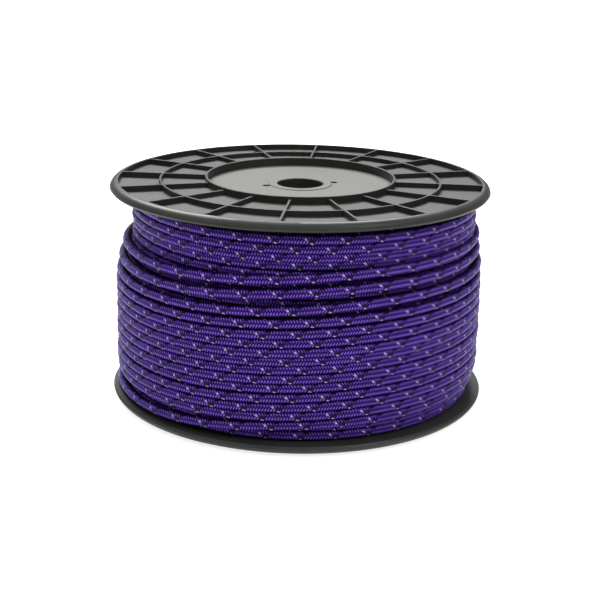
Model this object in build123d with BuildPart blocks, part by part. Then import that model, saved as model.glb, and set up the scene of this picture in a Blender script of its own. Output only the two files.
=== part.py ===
"""A plastic spool wound full of 6 mm kernmantle cord, standing on one flange.

The spool is two like flanges pressed onto the ends of a hollow barrel. The cord is wound on it in
ten layers, and each layer is a plain ring here. Millimetres, +Z up along the spool's axis, with the
origin at the middle of the base.
"""

import os

from build123d import *

# Driving dimensions
flange_radius = 125.0
spool_height = 147.0
flange_height = 5.5
ring_step = 1.5
barrel_radius = 64.0
barrel_wall = 2.6
bore_radius = 15.0
cord_diameter = 6.0
layer_count = 10
winding_radius = 122.0

# Flange: a thin web stiffened by a rim, two rings and straight ribs on its outer side. The inner
# ring stands a step higher than the rest, so it is the one that the spool rests on.
rim_ledge_radius = 121.0
rim_widest_height = 1.4
rim_bulge = (123.7, 3.95)
rim_corner_radius = 123.9
wall_thickness = 1.6
middle_ring_radius = 92.9
inner_ring_radius = 62.8
inner_pocket_depth = 3.0
outer_pocket_depth = 3.6
pocket_corner_radius = 0.8
rib_count = 16
rib_start_angle = 16.9
edge_round = 0.3

# Hub: a plate set a little into the barrel, with a collar round the bore and two drive holes
hub_floor_height = 1.6
hub_thickness = 2.6
hub_radius = inner_ring_radius - wall_thickness
collar_radius = 17.5
collar_depth = 6.0
boss_radius = 20.5
boss_height = 0.5
bore_chamfer = 0.5
drive_hole_radius = 2.5
drive_hole_circle = 46.5

# Spigot: a ring of fingers that presses into the barrel, with a barb on each finger
fit_gap = 0.2
spigot_radius = barrel_radius - barrel_wall - fit_gap
spigot_wall = 1.8
spigot_depth = 9.0
finger_count = 8
finger_gap = 6.0
barb_height = 0.7
barb_length = 2.0
groove_depth = 1.0
groove_slack = 0.4

# Winding: how far the outermost layers stop short of the flanges
lower_face = ring_step + flange_height
upper_face = spool_height - lower_face
traverse = upper_face - lower_face
layer_thickness = (winding_radius - barrel_radius) / layer_count
top_shortfall = {layer_count - 1: 0.7 * cord_diameter, layer_count: 4.9 * cord_diameter}
bottom_shortfall = {layer_count: cord_diameter}

# Free end of the cord, lying on the ninth layer just above the tenth
end_radius = winding_radius - layer_thickness + cord_diameter / 2
end_height = upper_face - top_shortfall[layer_count] + 0.6 * cord_diameter
end_start_angle = 70.0
end_arc = 26.0
seal_arc = 1.2
sheath_thickness = 0.9
strand_radius = 0.68
strand_circle = 1.4
outer_strand_count = 6

os.makedirs("parts", exist_ok=True)


def save(piece, name):
    """Label a finished piece and write it as its own STEP file."""
    piece.label = name
    export_step(piece, f"parts/{name}.step")


# Flange as the upper one lies: ribs up, and its inner face at z = 0
with BuildPart() as flange:
    with BuildSketch(Plane.XZ):
        with BuildLine():
            Polyline(
                (rim_ledge_radius, flange_height),
                (inner_ring_radius, flange_height),
                (inner_ring_radius, flange_height + ring_step),
                (hub_radius, flange_height + ring_step),
                (hub_radius, hub_floor_height),
                (boss_radius + boss_height, hub_floor_height),
                (boss_radius, hub_floor_height + boss_height),
                (bore_radius + bore_chamfer, hub_floor_height + boss_height),
                (bore_radius, hub_floor_height + boss_height - bore_chamfer),
                (bore_radius, -collar_depth),
                (collar_radius, -collar_depth),
                (collar_radius, hub_floor_height - hub_thickness),
                (spigot_radius - spigot_wall, hub_floor_height - hub_thickness),
                (spigot_radius - spigot_wall, -spigot_depth),
                (spigot_radius - barb_height, -spigot_depth),
                (spigot_radius + barb_height, barb_length - spigot_depth),
                (spigot_radius, barb_length - spigot_depth),
                (spigot_radius, 0),
                (rim_corner_radius, 0),
                (flange_radius, rim_widest_height),
            )
            ThreePointArc(
                (flange_radius, rim_widest_height), rim_bulge, (rim_ledge_radius, flange_height)
            )
        make_face()
    revolve(axis=Axis.Z)
    for inner, outer, depth in (
        (inner_ring_radius, middle_ring_radius - wall_thickness, inner_pocket_depth),
        (middle_ring_radius, rim_ledge_radius - wall_thickness, outer_pocket_depth),
    ):
        with BuildSketch(Plane.XY.offset(flange_height)) as pockets:
            Circle(outer)
            Circle(inner, mode=Mode.SUBTRACT)
            with PolarLocations(flange_radius / 2, rib_count, start_angle=rib_start_angle):
                Rectangle(flange_radius, wall_thickness, mode=Mode.SUBTRACT)
            fillet(pockets.vertices(), pocket_corner_radius)
        extrude(amount=-depth, mode=Mode.SUBTRACT)
    # Every edge at the top of a rib or ring is rounded
    pocket_edges = flange.edges().filter_by_position(Axis.Z, flange_height, flange_height)
    step_edges = flange.edges().group_by(Axis.Z)[-1]
    fillet(pocket_edges.filter_by(lambda edge: not edge.is_closed) + step_edges, edge_round)
    with BuildSketch(Plane.XY.offset(hub_floor_height)):
        with PolarLocations(drive_hole_circle / 2, 2, start_angle=rib_start_angle):
            Circle(drive_hole_radius)
    extrude(amount=-hub_thickness, mode=Mode.SUBTRACT)
    with BuildSketch(Plane.XY.offset(hub_floor_height - hub_thickness)):
        with PolarLocations(spigot_radius, finger_count):
            Rectangle(4 * spigot_wall, finger_gap)
    extrude(amount=hub_floor_height - hub_thickness - spigot_depth, mode=Mode.SUBTRACT)

with BuildPart() as top_flange:
    with Locations((0, 0, upper_face)):
        add(flange.part)
save(top_flange.part, "top_flange")

# The lower flange is the same moulding turned over, with its drive holes below the upper ones
with BuildPart() as bottom_flange:
    with Locations(Location((0, 0, lower_face), (180, 0, -2 * rib_start_angle))):
        add(flange.part)
save(bottom_flange.part, "bottom_flange")

# Barrel: a tube with a groove near each end for the barbs
with BuildPart() as barrel:
    with BuildSketch(Plane.XY.offset(lower_face)):
        Circle(barrel_radius)
        Circle(barrel_radius - barrel_wall, mode=Mode.SUBTRACT)
    extrude(amount=traverse)
    for groove_middle in (
        lower_face + spigot_depth - barb_length / 2,
        upper_face - spigot_depth + barb_length / 2,
    ):
        with BuildSketch(Plane.XY.offset(groove_middle)):
            Circle(barrel_radius - barrel_wall + groove_depth)
            Circle(barrel_radius - barrel_wall, mode=Mode.SUBTRACT)
        extrude(amount=barb_length / 2 + groove_slack, both=True, mode=Mode.SUBTRACT)
save(barrel.part, "barrel")

# One plain ring for each layer of turns, from the barrel outwards
for layer in range(1, layer_count + 1):
    low = lower_face + bottom_shortfall.get(layer, 0.0)
    high = upper_face - top_shortfall.get(layer, 0.0)
    with BuildPart() as rope_layer:
        with BuildSketch(Plane.XY.offset(low)):
            Circle(barrel_radius + layer * layer_thickness)
            Circle(barrel_radius + (layer - 1) * layer_thickness, mode=Mode.SUBTRACT)
        extrude(amount=high - low)
    save(rope_layer.part, f"rope_layer_{layer:02d}")

# Free end: sheath, core strands and the melted tip, all turned about the spool's axis
end_plane = Plane(
    origin=Vector(end_radius, 0, end_height).rotate(Axis.Z, end_start_angle),
    x_dir=Vector(1, 0, 0).rotate(Axis.Z, end_start_angle),
    z_dir=Vector(0, -1, 0).rotate(Axis.Z, end_start_angle),
)
with BuildPart() as rope_end_sheath:
    with BuildSketch(end_plane):
        Circle(cord_diameter / 2)
        Circle(cord_diameter / 2 - sheath_thickness, mode=Mode.SUBTRACT)
    revolve(axis=Axis.Z, revolution_arc=end_arc)
save(rope_end_sheath.part, "rope_end_sheath")

with BuildPart() as rope_end_core:
    with BuildSketch(end_plane):
        Circle(strand_radius)
        with PolarLocations(strand_circle, outer_strand_count):
            Circle(strand_radius)
    revolve(axis=Axis.Z, revolution_arc=end_arc)
save(rope_end_core.part, "rope_end_core")

with BuildPart() as rope_end_seal:
    with BuildSketch(end_plane):
        Circle(cord_diameter / 2)
    revolve(axis=Axis.Z, revolution_arc=-seal_arc)
save(rope_end_seal.part, "rope_end_seal")
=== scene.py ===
"""A plastic spool wound full of purple 6 mm kernmantle cord, with its stage, lights and camera.

The flanges and the barrel are the CAD parts in a moulded plastic. Each of the ten layers of cord is one
tube that follows its own line of turns, and the outer two are fine enough to show. Metres, +Z up along
the spool's axis, with the origin at the middle of the base.
"""

import math

import bpy
import numpy as np
from bpy.props import FloatProperty, FloatVectorProperty, IntProperty
from mathutils import Matrix, Vector


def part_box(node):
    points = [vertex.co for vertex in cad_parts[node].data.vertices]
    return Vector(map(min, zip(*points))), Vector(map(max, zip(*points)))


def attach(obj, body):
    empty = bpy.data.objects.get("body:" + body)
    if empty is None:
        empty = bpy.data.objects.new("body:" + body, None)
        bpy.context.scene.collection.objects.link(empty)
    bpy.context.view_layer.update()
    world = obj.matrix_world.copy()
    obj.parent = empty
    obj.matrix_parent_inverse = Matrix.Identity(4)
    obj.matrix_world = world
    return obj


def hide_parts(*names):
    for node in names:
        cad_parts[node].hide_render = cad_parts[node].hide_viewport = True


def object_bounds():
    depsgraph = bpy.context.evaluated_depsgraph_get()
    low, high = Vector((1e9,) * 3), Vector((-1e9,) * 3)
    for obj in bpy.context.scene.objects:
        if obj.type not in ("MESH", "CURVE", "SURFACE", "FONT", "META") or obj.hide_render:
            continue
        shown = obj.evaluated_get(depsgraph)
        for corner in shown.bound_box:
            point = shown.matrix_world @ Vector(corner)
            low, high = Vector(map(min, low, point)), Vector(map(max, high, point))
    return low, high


bl_info = {
    "name": "Spool of Cord",
    "version": (1, 0, 0),
    "blender": (4, 5, 0),
    "location": "3D View > Sidebar > Spool",
    "description": "Builds a plastic spool wound with braided cord, and the stage it stands on",
    "category": "Object",
}

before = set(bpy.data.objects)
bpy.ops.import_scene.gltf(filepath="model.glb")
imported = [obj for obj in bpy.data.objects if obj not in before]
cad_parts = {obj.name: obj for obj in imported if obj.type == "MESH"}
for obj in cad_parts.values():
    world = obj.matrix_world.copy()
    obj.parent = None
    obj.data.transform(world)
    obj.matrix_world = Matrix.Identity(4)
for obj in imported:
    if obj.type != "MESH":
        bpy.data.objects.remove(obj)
CAD_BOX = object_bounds()

MM = 0.001
FULL_TURN = 2 * math.pi

# The winding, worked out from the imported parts
LAYER_NODES = sorted(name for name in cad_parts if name.startswith("rope_layer_"))
LAYER_COUNT = len(LAYER_NODES)
LOWER_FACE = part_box("rope_layer_01")[0].z
UPPER_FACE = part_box("rope_layer_01")[1].z
BARREL_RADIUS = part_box("barrel")[1].x
WINDING_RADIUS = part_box(LAYER_NODES[-1])[1].x
LAYER_THICKNESS = (WINDING_RADIUS - BARREL_RADIUS) / LAYER_COUNT
SPOOL_HEIGHT = CAD_BOX[1].z

# The free end, as the CAD lays it: the cord's last stretch, then its melted tip
SHEATH_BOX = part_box("rope_end_sheath")
END_HEIGHT = (SHEATH_BOX[0].z + SHEATH_BOX[1].z) / 2
END_RADIUS = WINDING_RADIUS - LAYER_THICKNESS + (SHEATH_BOX[1].z - SHEATH_BOX[0].z) / 2
END_ANGLE = math.radians(96.0)

# Every layer begins and ends at this angle, at the back. At the front it steps over the turns below it.
SEAM_ANGLE = math.radians(82.0)

# Heights in millimetres at which the outer two layers cross the front, from where each layer begins
NINTH_START = 136.0
NINTH_TOP_TURNS = (133.0, 127.4, 122.4, 117.4)
NINTH_EVEN_TURNS = 18
NINTH_LAST_TURN = 10.6
NINTH_END = 10.2
TENTH_START = 10.6
TENTH_TURNS = (18.3, 24.1, 30.1, 36.1, 42.2, 48.1, 53.8, 59.4, 64.9, 70.3, 76.4, 83.2, 89.9, 101.3, 109.8)

# How a layer climbs out of the one below it, in turns from its start, and the ninth up to the tenth
CLIMB_TURNS = 0.13
NINTH_CLIMB = 3.0 * MM
NINTH_CLIMB_TURNS = 0.3

# The tenth layer rises by this share of its pitch evenly round each turn, and by the rest in its step
EVEN_SHARE = 0.16
STEP_PROUD = 0.5 * MM
STEP_INSET = 0.4 * MM

# Where the tenth layer lies deeper: its start, its first turn, and its top turns at the right
START_SUNK = 2.6 * MM
START_TURNS = 0.14
FIRST_TURN_SUNK = 1.6 * MM
FIRST_TURN_SINKS = (0.3, 0.55)
FIRST_TURN_RISES = (0.9, 1.4)
RIGHT_SUNK = 2.2 * MM
RIGHT_WIDTH = math.radians(60)
RIGHT_HEIGHTS = (95 * MM, 108 * MM)

# The slack top turns of every layer, let in most at the left
SLACK_DEPTH = 5.6 * MM
SLACK_WIDTH = math.radians(80)
SLACK_HEIGHTS = (84 * MM, 112 * MM)

# The last turn grows even before the free end, between these distances from the seam, in turns
EVEN_FROM = 0.25
EVEN_BY = 0.05

# Unevenness: how often each wave comes in a turn, and its share
WAVES = ((0.37, 1.0), (0.91, 0.7), (1.73, 0.5), (3.1, 0.35))
NINTH_WANDER = 0.25 * MM
NINTH_SWAY = 0.12 * MM
TENTH_WANDER = 0.25 * MM
TENTH_SWAY = 0.16 * MM

# Fineness of a tube that shows and of a hidden one: sides, and points in each span of its spline
SHOWN_TUBE = (14, 9)
HIDDEN_TUBE = (8, 2)

# The melted tip's outline: share of the cord's radius, and millimetres along from the cord's end
TIP_SIDES = 32
TIP_OUTLINE = (
    (1.0, -0.5),
    (1.04, -0.2),
    (1.06, 0.1),
    (1.02, 0.4),
    (0.9, 0.7),
    (0.7, 0.92),
    (0.45, 1.06),
    (0.2, 1.12),
)

# Camera and lights: each light's place, what it is aimed at, its size and its watts
CAMERA_TARGET = Vector((0, 0, 0.0725))
CAMERA_SHIFT = (0.0026, -0.0267)
SENSOR_WIDTH = 36
LIGHTS = {
    "light_above": ((-0.25, 1.15, 1.5), (0, 0, 0.1), (1.6, 1.0), 74),
    "light_left": ((-1.5, -1.0, 1.7), (0, 0, 0.07), (0.5, 0.7), 6),
    "light_right": ((1.4, -1.2, 1.9), (0, 0, 0.07), (0.5, 0.7), 18),
}

# The surround's strength at a low and a high direction, given as the direction's upward part
SURROUND_DIRECTIONS = (0.15, 0.8)
SURROUND_STRENGTHS = (0.06, 0.8)
FLOOR_SIDES = 96
FLOOR_GLOW = 0.8
WHITE = (1, 1, 1, 1)


class CordSettings(bpy.types.PropertyGroup):
    """Size, winding and colours of the cord."""

    diameter: FloatProperty(
        name="Diameter",
        description="Thickness of the cord",
        default=6 * MM,
        unit="LENGTH",
    )
    hidden_turns: IntProperty(name="Turns", description="Turns in each full layer", default=21, min=1)
    route_points: IntProperty(
        name="Route Points",
        description="Points of the route in each turn",
        default=36,
        min=12,
    )
    step_over: FloatProperty(
        name="Step Over",
        description="Angle in which a turn of the tenth layer steps over the turn below it",
        default=math.radians(92),
        subtype="ANGLE",
    )
    marker_lay: FloatProperty(
        name="Marker Lay",
        description="Length in which a marker yarn goes once round",
        default=21 * MM,
        unit="LENGTH",
    )
    purple_lay: FloatProperty(
        name="Purple Lay",
        description="Length in which a purple yarn goes once round",
        default=10.5 * MM,
        unit="LENGTH",
    )
    marker_yarns: IntProperty(
        name="Marker Places",
        description="Places for marker yarns each way",
        default=12,
        min=4,
    )
    purple_yarns: IntProperty(
        name="Purple Yarns",
        description="Purple yarns that turn each way",
        default=6,
        min=2,
    )
    relief: FloatProperty(
        name="Relief",
        description="Height of a yarn in the sheath",
        default=0.3 * MM,
        unit="LENGTH",
    )
    # Painted shade: a near-black colour for the hollows between the yarns and between the turns.
    valley: FloatVectorProperty(
        name="Valley",
        description="Colour between the yarns",
        default=(0.002, 0.0005, 0.018),
        subtype="COLOR",
    )
    yarn: FloatVectorProperty(
        name="Yarn",
        description="Colour of the purple yarn",
        default=(0.034, 0.0055, 0.165),
        subtype="COLOR",
    )
    # Painted highlight: a paler colour that stands in for the glints on the tops of the purple yarns.
    crown: FloatVectorProperty(
        name="Crown",
        description="Colour on top of a purple yarn",
        default=(0.2, 0.095, 0.62),
        subtype="COLOR",
    )
    tracer: FloatVectorProperty(
        name="Tracer",
        description="Colour of the pale marker yarn",
        default=(0.4, 0.33, 0.5),
        subtype="COLOR",
    )
    dark_yarn: FloatVectorProperty(
        name="Dark Yarn",
        description="Colour of the dark yarns",
        default=(0.008, 0.005, 0.016),
        subtype="COLOR",
    )


class PlasticSettings(bpy.types.PropertyGroup):
    """Colours of the moulded spool."""

    body: FloatVectorProperty(
        name="Body",
        description="Colour of the moulded plastic",
        default=(0.022, 0.0232, 0.021),
        subtype="COLOR",
    )
    bloom: FloatVectorProperty(
        name="Bloom",
        description="Colour where the plastic is chalky",
        default=(0.036, 0.0378, 0.0338),
        subtype="COLOR",
    )
    # Painted light: the hub plate is given a paler colour, standing in for the light it catches while the
    # pockets round it lie in shade.
    hub: FloatVectorProperty(
        name="Hub",
        description="Colour of the rough hub plate",
        default=(0.084, 0.086, 0.077),
        subtype="COLOR",
    )
    hub_radius: FloatProperty(
        name="Hub Radius",
        description="Radius of the rough hub plate",
        default=61.2 * MM,
        unit="LENGTH",
    )
    bore_radius: FloatProperty(
        name="Bore Radius",
        description="Radius where the smooth bore begins",
        default=15.4 * MM,
        unit="LENGTH",
    )


class StageSettings(bpy.types.PropertyGroup):
    """Floor, lights and camera."""

    floor_radius: FloatProperty(
        name="Floor Radius",
        description="Radius of the floor",
        default=14.0,
        unit="LENGTH",
    )
    camera_distance: FloatProperty(
        name="Camera Distance",
        description="From the camera to the middle of the spool",
        default=0.9,
        unit="LENGTH",
    )
    camera_pitch: FloatProperty(
        name="Camera Pitch",
        description="Angle that the camera looks down",
        default=math.radians(16.6),
        subtype="ANGLE",
    )
    camera_roll: FloatProperty(
        name="Camera Roll",
        description="Turn of the camera about its own axis",
        default=math.radians(1.07),
        subtype="ANGLE",
    )
    lens: FloatProperty(name="Lens", description="Focal length in millimetres", default=79.85, min=10)


def cord_settings():
    return bpy.context.scene.spool_cord


def plastic_settings():
    return bpy.context.scene.spool_plastic


def stage_settings():
    return bpy.context.scene.spool_stage


class NodeSheet:
    """Short words for laying out a material's nodes."""

    def __init__(self, name):
        self.material = bpy.data.materials.new(name)
        self.material.use_nodes = True
        self.tree = self.material.node_tree
        self.shader = self.tree.nodes["Principled BSDF"]

    def node(self, kind, **settings):
        made = self.tree.nodes.new(kind)
        for key, value in settings.items():
            setattr(made, key, value)
        return made

    def feed(self, socket, value):
        """Link value to socket if it is an output, or else set it there."""
        if isinstance(value, bpy.types.NodeSocket):
            self.tree.links.new(value, socket)
        else:
            socket.default_value = value

    def math(self, operation, *values):
        made = self.node("ShaderNodeMath", operation=operation)
        for socket, value in zip(made.inputs, values):
            self.feed(socket, value)
        return made.outputs[0]

    def choose(self, factor, if_zero, if_one):
        made = self.node("ShaderNodeMix", data_type="FLOAT")
        self.feed(made.inputs["Factor"], factor)
        self.feed(made.inputs[2], if_zero)
        self.feed(made.inputs[3], if_one)
        return made.outputs[0]

    def mix_colour(self, factor, low, high):
        made = self.node("ShaderNodeMix", data_type="RGBA")
        self.feed(made.inputs["Factor"], factor)
        self.feed(made.inputs[6], low)
        self.feed(made.inputs[7], high)
        return made.outputs[2]

    def spread(self, value, low, high, to_low=0.0, to_high=1.0):
        """Value from low to high, stretched over to_low to to_high and held there."""
        made = self.node("ShaderNodeMapRange")
        for socket, number in zip(made.inputs, (value, low, high, to_low, to_high)):
            self.feed(socket, number)
        return made.outputs[0]

    def noise(self, scale, detail=2.0, roughness=0.5, vector=None):
        made = self.node("ShaderNodeTexNoise")
        made.inputs["Scale"].default_value = scale
        made.inputs["Detail"].default_value = detail
        made.inputs["Roughness"].default_value = roughness
        if vector is not None:
            self.feed(made.inputs["Vector"], vector)
        return made.outputs["Fac"]

    def place(self):
        return self.node("ShaderNodeTexCoord").outputs["Object"]

    def bump(self, height, strength, distance):
        made = self.node("ShaderNodeBump")
        made.inputs["Strength"].default_value = strength
        made.inputs["Distance"].default_value = distance
        self.feed(made.inputs["Height"], height)
        return made.outputs["Normal"]

    def finish(self, colour, roughness, normal):
        self.feed(self.shader.inputs["Base Color"], colour)
        self.feed(self.shader.inputs["Roughness"], roughness)
        self.feed(self.shader.inputs["Normal"], normal)
        return self.material


def opaque(colour):
    return (*colour, 1.0)


def weave(sheet, lays, turned, carriers):
    """A two-over two-under braid of yarns that turn left and right.

    Returns whether the right-turning yarn is on top, the top yarn's height, how near the middle of its
    float it is, and the number of the yarn each way.
    """
    right = sheet.math("MULTIPLY", sheet.math("ADD", lays, turned), carriers)
    left = sheet.math("MULTIPLY", sheet.math("SUBTRACT", lays, turned), carriers)
    right_yarn, left_yarn = sheet.math("FLOOR", right), sheet.math("FLOOR", left)

    # How far along its float each yarn is, in which it lies on top from 0 to 1
    ahead = sheet.math("ADD", sheet.math("SUBTRACT", left, right_yarn), 1.0)
    right_float = sheet.math("DIVIDE", sheet.math("FLOORED_MODULO", ahead, 4.0), 2.0)
    behind = sheet.math("SUBTRACT", sheet.math("SUBTRACT", right, left_yarn), 2.0)
    left_float = sheet.math("DIVIDE", sheet.math("FLOORED_MODULO", behind, 4.0), 2.0)
    right_on_top = sheet.math("LESS_THAN", right_float, 1.0)
    across = sheet.choose(right_on_top, sheet.math("FRACT", left), sheet.math("FRACT", right))
    along = sheet.choose(right_on_top, left_float, right_float)
    arch = sheet.math("SINE", sheet.math("MULTIPLY", across, math.pi))
    hump = sheet.math("SINE", sheet.math("MULTIPLY", along, math.pi))
    lift = sheet.math("ADD", sheet.math("MULTIPLY", hump, 0.6), 0.4)
    height = sheet.math("MULTIPLY", sheet.math("POWER", arch, 0.8), lift)
    right_number = sheet.math("FLOORED_MODULO", right_yarn, float(carriers))
    left_number = sheet.math("FLOORED_MODULO", left_yarn, float(carriers))
    return right_on_top, height, hump, right_number, left_number


def braided_sheath():
    """Purple yarns braided round the cord, with a pale marker yarn one way and two dark ones the other.

    The map's U is the length along the cord in marker lays and its V the share of the way round it.
    The marker yarns lie at a longer lay than the purple ones, so they show as short slanting dashes.
    """
    cord = cord_settings()
    sheet = NodeSheet("braided_sheath")
    along_round = sheet.node("ShaderNodeSeparateXYZ")
    sheet.feed(along_round.inputs[0], sheet.node("ShaderNodeUVMap", uv_map="cord").outputs["UV"])
    lays, turned = along_round.outputs["X"], along_round.outputs["Y"]
    purple_lays = sheet.math("MULTIPLY", lays, cord.marker_lay / cord.purple_lay)
    height = weave(sheet, purple_lays, turned, cord.purple_yarns)[1]
    marker_weave = weave(sheet, lays, turned, cord.marker_yarns)
    right_on_top, marker_height, marker_hump, right_number, left_number = marker_weave

    # Yarn 0 of those that turn left is pale, and yarns 1 and 2 of those that turn right are dark
    left_on_top = sheet.math("SUBTRACT", 1.0, right_on_top)
    pale = sheet.math("MULTIPLY", left_on_top, sheet.math("LESS_THAN", left_number, 0.5))
    pale = sheet.math("MULTIPLY", pale, sheet.spread(marker_height, 0.05, 0.25))
    pale = sheet.math("MULTIPLY", pale, sheet.spread(marker_hump, 0.15, 0.5))
    dark = sheet.math("MULTIPLY", right_on_top, sheet.math("COMPARE", right_number, 1.5, 0.6))

    mottle = sheet.noise(90.0, 3.0, 0.6, sheet.place())
    # Painted highlight: the tops of the yarns, spread a little at random, are mixed towards the paler
    # crown colour.
    highlight_share = sheet.spread(sheet.math("ADD", height, sheet.math("MULTIPLY", mottle, 0.3)), 0.7, 1.15)
    colour = sheet.mix_colour(highlight_share, opaque(cord.yarn), opaque(cord.crown))
    # Painted shade: the hollows between the yarns are darkened towards near-black.
    colour = sheet.mix_colour(sheet.spread(height, 0.15, 0.75), opaque(cord.valley), colour)
    colour = sheet.mix_colour(dark, colour, opaque(cord.dark_yarn))
    colour = sheet.mix_colour(pale, colour, opaque(cord.tracer))

    # Painted shade: the sides that press on the next turn are darkened nearly to black, standing in for
    # the shade between the turns.
    facing_shade = sheet.math("COSINE", sheet.math("MULTIPLY", turned, FULL_TURN))
    colour = sheet.mix_colour(sheet.spread(facing_shade, -0.1, 0.7), opaque(cord.valley), colour)
    relief = sheet.math("MAXIMUM", height, pale)
    roughness = sheet.spread(mottle, 0.3, 0.7, 0.36, 0.52)
    material = sheet.finish(colour, roughness, sheet.bump(relief, 1.0, cord.relief))
    sheet.shader.inputs["Specular IOR Level"].default_value = 0.08
    return material


def moulded_plastic():
    """Dark polystyrene with faint flow marks, and a chalky bloom where it is rubbed.

    It is smoother on top of the rings, ribs and rim. The hub plate is painted paler, as painted light: it
    stands in for the light it catches while the pockets round it lie in shade.
    """
    plastic = plastic_settings()
    sheet = NodeSheet("moulded_plastic")
    place = sheet.place()
    flow = sheet.noise(14.0, 4.0, 0.6, place)
    grain = sheet.noise(900.0, 2.0, 0.5, place)
    parts = sheet.node("ShaderNodeSeparateXYZ")
    sheet.feed(parts.inputs[0], place)
    flat = sheet.node("ShaderNodeVectorMath", operation="MULTIPLY")
    sheet.feed(flat.inputs[0], place)
    flat.inputs[1].default_value = (1, 1, 0)
    span = sheet.node("ShaderNodeVectorMath", operation="LENGTH")
    sheet.feed(span.inputs[0], flat.outputs[0])
    from_axis = span.outputs["Value"]
    half_height = SPOOL_HEIGHT / 2
    from_middle = sheet.math("ABSOLUTE", sheet.math("SUBTRACT", parts.outputs["Z"], half_height))
    on_top = sheet.spread(from_middle, half_height - 3.6 * MM, half_height - 2.6 * MM)

    # The hub plate lies between the bore and the inner ring
    fade = 0.5 * MM
    within_plate = sheet.spread(from_axis, plastic.hub_radius, plastic.hub_radius - fade)
    outside_bore = sheet.spread(from_axis, plastic.bore_radius, plastic.bore_radius + fade)
    on_painted_hub = sheet.math("MULTIPLY", within_plate, outside_bore)
    on_painted_hub = sheet.math("MULTIPLY", on_painted_hub, sheet.math("SUBTRACT", 1.0, on_top))

    rubbed = sheet.spread(flow, 0.35, 0.75)
    colour = sheet.mix_colour(rubbed, opaque(plastic.body), opaque(plastic.bloom))
    # Painted light: the hub plate is mixed towards its paler colour.
    colour = sheet.mix_colour(on_painted_hub, colour, opaque(plastic.hub))
    dull = sheet.spread(flow, 0.3, 0.7, 0.42, 0.54)
    smooth = sheet.spread(flow, 0.3, 0.7, 0.34, 0.44)
    roughness = sheet.choose(on_top, dull, smooth)
    height = sheet.math("ADD", grain, sheet.math("MULTIPLY", flow, 0.6))
    material = sheet.finish(colour, roughness, sheet.bump(height, 0.25, 0.05 * MM))
    sheet.shader.inputs["Specular IOR Level"].default_value = 0.25
    return material


def core_fibre():
    """White twisted strands of the cord's core."""
    sheet = NodeSheet("core_fibre")
    fibres = sheet.noise(1500.0, 3.0, 0.6, sheet.place())
    colour = sheet.mix_colour(fibres, (0.55, 0.53, 0.5, 1), (0.85, 0.84, 0.8, 1))
    return sheet.finish(colour, sheet.spread(fibres, 0, 1, 0.6, 0.8), sheet.bump(fibres, 0.5, 0.1 * MM))


def melted_tip():
    """Sheath and core melted together: dark, glossy and a little lumpy."""
    sheet = NodeSheet("melted_tip")
    lumps = sheet.noise(500.0, 3.0, 0.6, sheet.place())
    colour = sheet.mix_colour(lumps, (0.008, 0.003, 0.03, 1), (0.05, 0.02, 0.14, 1))
    return sheet.finish(colour, sheet.spread(lumps, 0.3, 0.7, 0.18, 0.4), sheet.bump(lumps, 0.6, 0.3 * MM))


def pale_floor():
    """A matt white sweep with a fine paper tooth, lit a little from within."""
    sheet = NodeSheet("pale_floor")
    tooth = sheet.noise(400.0, 2.0, 0.5, sheet.place())
    colour = sheet.mix_colour(tooth, (0.50, 0.50, 0.50, 1), (0.54, 0.54, 0.54, 1))
    material = sheet.finish(colour, sheet.spread(tooth, 0, 1, 0.8, 0.9), sheet.bump(tooth, 0.1, 0.05 * MM))
    sheet.shader.inputs["Specular IOR Level"].default_value = 0.1
    sheet.shader.inputs["Emission Color"].default_value = WHITE
    sheet.shader.inputs["Emission Strength"].default_value = FLOOR_GLOW
    return material


def material(maker):
    """The material that maker makes, made once."""
    return bpy.data.materials.get(maker.__name__) or maker()


def ease(value, low, high):
    """0 below low, 1 above high, and smooth between them."""
    share = np.clip((value - low) / (high - low), 0.0, 1.0)
    return share * share * (3 - 2 * share)


def near_angle(angle, middle, width):
    """1 at the middle angle, easing to 0 at width either side of it."""
    apart = np.abs((angle - middle + math.pi) % FULL_TURN - math.pi)
    return 1 - ease(apart, 0.25 * width, width)


def wander(turns, seed, size):
    """A slow unevenness along the cord, the same each run."""
    total = 0.0
    for index, (rate, share) in enumerate(WAVES):
        total = total + share * np.sin(FULL_TURN * rate * turns + seed * (index + 1.3))
    return size * total


def settled(radius, angle, height, layer):
    """The radius with the slack turns near the top let in, most of all at the left."""
    slipped = near_angle(angle, math.pi, SLACK_WIDTH) * ease(height, *SLACK_HEIGHTS)
    return radius - SLACK_DEPTH * slipped * min(1.0, layer / (LAYER_COUNT - 1))


def climbing_out(layer, turns):
    """Radius of a layer whose first stretch climbs out of the layer below it."""
    climb = 0.0 if layer == 1 else LAYER_THICKNESS
    return BARREL_RADIUS + (layer - 0.5) * LAYER_THICKNESS - climb * (1 - ease(turns, 0, CLIMB_TURNS))


def hidden_layer_route(layer, point_count):
    """Turns, radii and heights of a full layer, which goes down if its number is odd."""
    cord = cord_settings()
    turns = np.linspace(0, cord.hidden_turns, point_count * cord.hidden_turns + 1)
    low, high = LOWER_FACE + cord.diameter / 2, UPPER_FACE - cord.diameter / 2
    height = low + (high - low) * turns / cord.hidden_turns
    if layer % 2:
        height = height[::-1]
    return turns, climbing_out(layer, turns), height


def ninth_layer_route(layer, point_count):
    """The layer that shows above and below the tenth. It goes down in even turns."""
    top = np.array(NINTH_TOP_TURNS)
    rest = np.linspace(top[-1], NINTH_LAST_TURN, NINTH_EVEN_TURNS + 1)[1:]
    fronts = np.concatenate([[NINTH_START], top, rest, [NINTH_END]]) * MM
    middles = np.concatenate([[0], np.arange(len(fronts) - 2) + 0.5, [len(fronts) - 2]])
    end_turn = middles[-1]
    turns = np.linspace(0, end_turn, point_count * int(end_turn) + 1)
    height = np.interp(turns, middles, fronts)
    radius = climbing_out(layer, turns)
    radius += NINTH_CLIMB * ease(turns, end_turn - NINTH_CLIMB_TURNS, end_turn)
    radius += wander(turns, 2.1, NINTH_WANDER)
    return turns, radius, height + wander(turns, 4.4, NINTH_SWAY)


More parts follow.
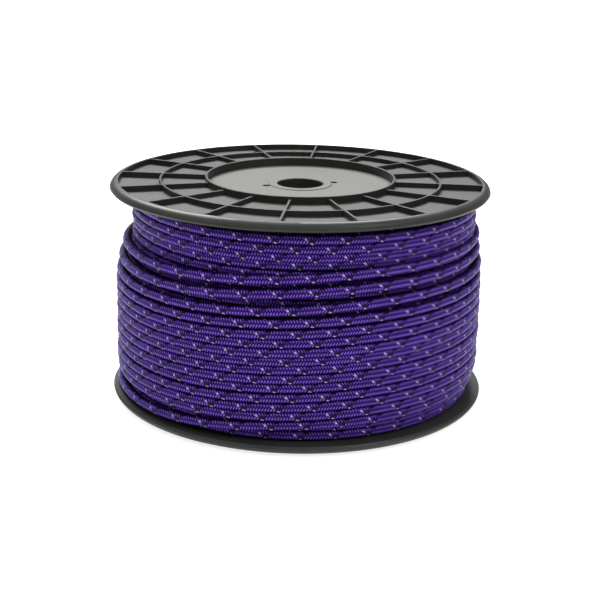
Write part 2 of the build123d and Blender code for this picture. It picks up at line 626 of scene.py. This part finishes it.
def tenth_layer_route(layer, point_count):
    """The outermost layer: level turns, each of which steps over the one below it at the front."""
    cord = cord_settings()
    last = len(TENTH_TURNS)
    end_turn = last + (END_ANGLE - SEAM_ANGLE) / FULL_TURN
    turns = np.linspace(0, end_turn, int(point_count * end_turn) + 1)
    from_front = (turns % 1.0) - 0.5
    stepped = np.sin(math.pi / 2 * np.clip(from_front * FULL_TURN / (cord.step_over / 2), -1, 1))
    level = np.floor(turns) + 0.5 + EVEN_SHARE * from_front + (1 - EVEN_SHARE) / 2 * stepped
    fronts = np.array([TENTH_START, *TENTH_TURNS, END_HEIGHT / MM, END_HEIGHT / MM]) * MM
    middles = np.array([0.0, *(np.arange(last) + 0.5), last, last + 0.5])
    height = np.interp(level, middles, fronts)

    radius = END_RADIUS + STEP_PROUD * (1 - np.abs(stepped)) - STEP_INSET
    radius -= START_SUNK * (1 - ease(turns, 0, START_TURNS))
    radius -= FIRST_TURN_SUNK * ease(turns, *FIRST_TURN_SINKS) * (1 - ease(turns, *FIRST_TURN_RISES))
    right_side = near_angle(turns * FULL_TURN + SEAM_ANGLE, 0.0, RIGHT_WIDTH)
    radius -= RIGHT_SUNK * right_side * ease(height, *RIGHT_HEIGHTS)

    even = ease(turns, last - EVEN_FROM, last - EVEN_BY)
    radius += wander(turns, 0.7, TENTH_WANDER) * (1 - even)
    radius = radius * (1 - even) + END_RADIUS * even
    height = height + wander(turns, 3.3, TENTH_SWAY) * (1 - even)
    return turns, radius, height


def route_points(layer):
    """Control points of one layer's turns."""
    cord = cord_settings()
    outer_makers = {LAYER_COUNT: tenth_layer_route, LAYER_COUNT - 1: ninth_layer_route}
    maker = outer_makers.get(layer, hidden_layer_route)
    count = cord.route_points if layer >= LAYER_COUNT - 1 else cord.route_points // 2
    turns, radius, height = maker(layer, count)
    angle = SEAM_ANGLE + turns * FULL_TURN
    radius = settled(radius, angle, height, layer)
    # The spline runs this much inside its control points
    radius = radius / math.cos(math.pi / count)
    return np.column_stack([radius * np.cos(angle), radius * np.sin(angle), height])


def spline_line(name, points, fineness):
    """Points read from the NURBS spline whose control points are given."""
    curve = bpy.data.curves.new(name, "CURVE")
    curve.dimensions = "3D"
    curve.resolution_u = fineness
    spline = curve.splines.new("NURBS")
    spline.points.add(len(points) - 1)
    spline.points.foreach_set("co", np.column_stack([points, np.ones(len(points))]).ravel())
    spline.order_u = 3
    spline.use_endpoint_u = True
    carrier = bpy.data.objects.new(name, curve)
    read = bpy.data.meshes.new_from_object(carrier)
    line = np.empty(3 * len(read.vertices))
    read.vertices.foreach_get("co", line)
    bpy.data.objects.remove(carrier)
    bpy.data.meshes.remove(read)
    bpy.data.curves.remove(curve)
    return line.reshape(-1, 3)


def unit(rows):
    return rows / np.linalg.norm(rows, axis=1)[:, None]


def add_object(name, verts, faces, finish):
    """A smooth-shaded object of those vertices and faces, in the scene."""
    mesh = bpy.data.meshes.new(name)
    mesh.from_pydata(verts, [], faces)
    mesh.materials.append(material(finish))
    mesh.polygons.foreach_set("use_smooth", np.ones(len(mesh.polygons), bool))
    made = bpy.data.objects.new(name, mesh)
    bpy.context.collection.objects.link(made)
    return made


def tube(name, line, radius, sides, finish, lay, start_along=0.0):
    """A tube round the line, with a map for the braid: U in lays along it, V round it."""
    forward = unit(np.gradient(line, axis=0))
    outward = line * (1, 1, 0)
    outward = unit(outward - forward * np.sum(outward * forward, axis=1)[:, None])
    upward = np.cross(forward, outward)
    turn = np.arange(sides) * FULL_TURN / sides
    across = np.cos(turn)[None, :, None] * outward[:, None]
    upright = np.sin(turn)[None, :, None] * upward[:, None]
    verts = (line[:, None] + radius * (across + upright)).reshape(-1, 3)
    row = np.arange(len(line) - 1)[:, None] * sides
    side = np.arange(sides)[None, :]
    following = (side + 1) % sides
    faces = np.stack([row + side, row + following, row + sides + following, row + sides + side], axis=2)
    made = add_object(name, verts.tolist(), faces.reshape(-1, 4).tolist(), finish)
    steps = np.linalg.norm(np.diff(line, axis=0), axis=1)
    along = start_along + np.concatenate([[0], np.cumsum(steps)])
    first, second = np.broadcast_arrays(along[:-1, None] / lay, (side + 0.0) / sides)
    third = np.broadcast_to(along[1:, None] / lay, first.shape)
    fourth = np.broadcast_to((side + 1.0) / sides, first.shape)
    corners = np.stack([first, second, first, fourth, third, fourth, third, second], axis=2)
    made.data.uv_layers.new(name="cord").data.foreach_set("uv", corners.ravel())
    return made, along[-1]


class SPOOL_OT_camera(bpy.types.Operator):
    """Set the camera in front of the spool, looking down on it"""

    bl_idname = "spool.camera"
    bl_label = "Camera"

    def execute(self, context):
        stage = stage_settings()
        data = bpy.data.cameras.new("camera")
        data.lens = stage.lens
        data.sensor_width = SENSOR_WIDTH
        data.shift_x, data.shift_y = CAMERA_SHIFT
        camera = bpy.data.objects.new("camera", data)
        context.collection.objects.link(camera)
        pitch = stage.camera_pitch
        look = Matrix.Rotation(math.pi / 2 - pitch, 4, "X")
        roll = Matrix.Rotation(stage.camera_roll, 4, "Z")
        back = Vector((0, -math.cos(pitch), math.sin(pitch))) * stage.camera_distance
        camera.matrix_world = Matrix.Translation(CAMERA_TARGET + back) @ look @ roll
        context.scene.camera = camera
        return {"FINISHED"}


class SPOOL_OT_cord(bpy.types.Operator):
    """Wind the cord on the spool in ten layers, ending in its free end at the back"""

    bl_idname = "spool.cord"
    bl_label = "Wound Cord"

    def execute(self, context):
        cord = cord_settings()
        along = 0.0
        for layer in range(1, LAYER_COUNT + 1):
            shown = layer >= LAYER_COUNT - 1
            name = f"cord_layer_{layer:02d}"
            sides, fineness = SHOWN_TUBE if shown else HIDDEN_TUBE
            line = spline_line(name, route_points(layer), fineness)
            radius = cord.diameter / 2
            made, reach = tube(name, line, radius, sides, braided_sheath, cord.marker_lay, along)
            replaced = [LAYER_NODES[layer - 1]]
            outermost = layer == LAYER_COUNT
            if outermost:
                replaced.append("rope_end_sheath")
            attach(made, "root")
            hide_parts(*replaced)
            if outermost:
                tip = self.melted_end(line, cord)
            along = reach
        print(f"cord: {along:.2f} m in {LAYER_COUNT} layers")
        core = bpy.data.objects["rope_end_core"]
        core.data.materials.clear()
        core.data.materials.append(material(core_fibre))
        return {"FINISHED"}

    def melted_end(self, line, cord):
        """The melted tip, a low dome with a rolled lip on the end of the cord."""
        forward = unit(line[-2:] - line[-3:-1])[-1]
        outward = line[-1] * (1, 1, 0)
        outward = outward - forward * outward.dot(forward)
        outward = outward / np.linalg.norm(outward)
        upward = np.cross(forward, outward)
        verts = []
        faces = []
        for share, step in TIP_OUTLINE:
            for side in range(TIP_SIDES):
                turn = FULL_TURN * side / TIP_SIDES
                lump = 1 + 0.02 * math.sin(3 * turn + 5 * step) + 0.015 * math.sin(7 * turn)
                reach = cord.diameter / 2 * share * lump
                spoke = reach * (math.cos(turn) * outward + math.sin(turn) * upward)
                verts.append(line[-1] + spoke + step * MM * forward)
        for row in range(len(TIP_OUTLINE) - 1):
            near = row * TIP_SIDES
            far = near + TIP_SIDES
            for side in range(TIP_SIDES):
                other = (side + 1) % TIP_SIDES
                faces.append([near + side, near + other, far + other, far + side])
        last_row = (len(TIP_OUTLINE) - 1) * TIP_SIDES
        faces.append([last_row + side for side in range(TIP_SIDES)])
        made = add_object("cord_end_seal", [tuple(vert) for vert in verts], faces, melted_tip)
        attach(made, "root")
        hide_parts("rope_end_seal")
        return made


class SPOOL_OT_body(bpy.types.Operator):
    """Give the flanges and the barrel their moulded plastic"""

    bl_idname = "spool.body"
    bl_label = "Spool"

    def execute(self, context):
        for name in ("top_flange", "bottom_flange", "barrel"):
            part = bpy.data.objects[name]
            part.data.materials.clear()
            part.data.materials.append(material(moulded_plastic))
        return {"FINISHED"}


class SPOOL_OT_stage(bpy.types.Operator):
    """Lay the pale floor and hang the soft lights"""

    bl_idname = "spool.stage"
    bl_label = "Stage"

    def execute(self, context):
        reach = stage_settings().floor_radius
        turns = [FULL_TURN * side / FLOOR_SIDES for side in range(FLOOR_SIDES)]
        ring = [(reach * math.cos(turn), reach * math.sin(turn), 0) for turn in turns]
        floor = add_object("floor", ring, [list(range(FLOOR_SIDES))], pale_floor)
        for name, (place, aim, size, watts) in LIGHTS.items():
            self.light(name, place, aim, size, watts)
        self.surround()
        context.scene.view_settings.view_transform = "Standard"
        return {"FINISHED"}

    def light(self, name, place, aim, size, watts):
        """A soft rectangular light at that place, aimed at a point."""
        data = bpy.data.lights.new(name, "AREA")
        data.shape = "RECTANGLE"
        data.size, data.size_y = size
        data.energy = watts
        lamp = bpy.data.objects.new(name, data)
        lamp.location = place
        lamp.rotation_euler = (Vector(aim) - Vector(place)).to_track_quat("-Z", "Y").to_euler()
        bpy.context.collection.objects.link(lamp)

    def surround(self):
        """A pale room that lights the spool from overhead more than from its walls, and looks white."""
        world = bpy.data.worlds.new("surround")
        world.use_nodes = True
        tree = world.node_tree
        place = tree.nodes.new("ShaderNodeTexCoord")
        parts = tree.nodes.new("ShaderNodeSeparateXYZ")
        reach = tree.nodes.new("ShaderNodeMapRange")
        for end, direction, strength in zip(("Min", "Max"), SURROUND_DIRECTIONS, SURROUND_STRENGTHS):
            reach.inputs["From " + end].default_value = direction
            reach.inputs["To " + end].default_value = strength
        tree.links.new(place.outputs["Generated"], parts.inputs[0])
        tree.links.new(parts.outputs["Z"], reach.inputs["Value"])
        seen = tree.nodes.new("ShaderNodeLightPath")
        brighter = tree.nodes.new("ShaderNodeMath")
        brighter.operation = "MAXIMUM"
        tree.links.new(reach.outputs[0], brighter.inputs[0])
        tree.links.new(seen.outputs["Is Camera Ray"], brighter.inputs[1])
        tree.links.new(brighter.outputs[0], tree.nodes["Background"].inputs["Strength"])
        tree.nodes["Background"].inputs["Color"].default_value = WHITE
        bpy.context.scene.world = world


class SPOOL_PT_panel(bpy.types.Panel):
    """The spool's sizes and colours, and the operators that build it"""

    bl_label = "Spool of Cord"
    bl_idname = "SPOOL_PT_panel"
    bl_space_type = "VIEW_3D"
    bl_region_type = "UI"
    bl_category = "Spool"

    def draw(self, context):
        layout = self.layout
        for group in (cord_settings(), plastic_settings(), stage_settings()):
            box = layout.box()
            for name in group.__annotations__:
                box.prop(group, name)
        for operator in OPERATORS:
            layout.operator(operator.bl_idname)


SETTINGS = {"spool_cord": CordSettings, "spool_plastic": PlasticSettings, "spool_stage": StageSettings}
OPERATORS = (SPOOL_OT_camera, SPOOL_OT_cord, SPOOL_OT_body, SPOOL_OT_stage)


def register():
    for group in SETTINGS.values():
        bpy.utils.register_class(group)
    for name, group in SETTINGS.items():
        setattr(bpy.types.Scene, name, bpy.props.PointerProperty(type=group))
    for operator in OPERATORS:
        bpy.utils.register_class(operator)
    bpy.utils.register_class(SPOOL_PT_panel)


def unregister():
    bpy.utils.unregister_class(SPOOL_PT_panel)
    for operator in reversed(OPERATORS):
        bpy.utils.unregister_class(operator)
    for name, group in SETTINGS.items():
        delattr(bpy.types.Scene, name)
        bpy.utils.unregister_class(group)


def main():
    register()
    bpy.ops.spool.camera()
    bpy.ops.spool.cord()
    bpy.ops.spool.body()
    bpy.ops.spool.stage()


if __name__ == "__main__":
    main()
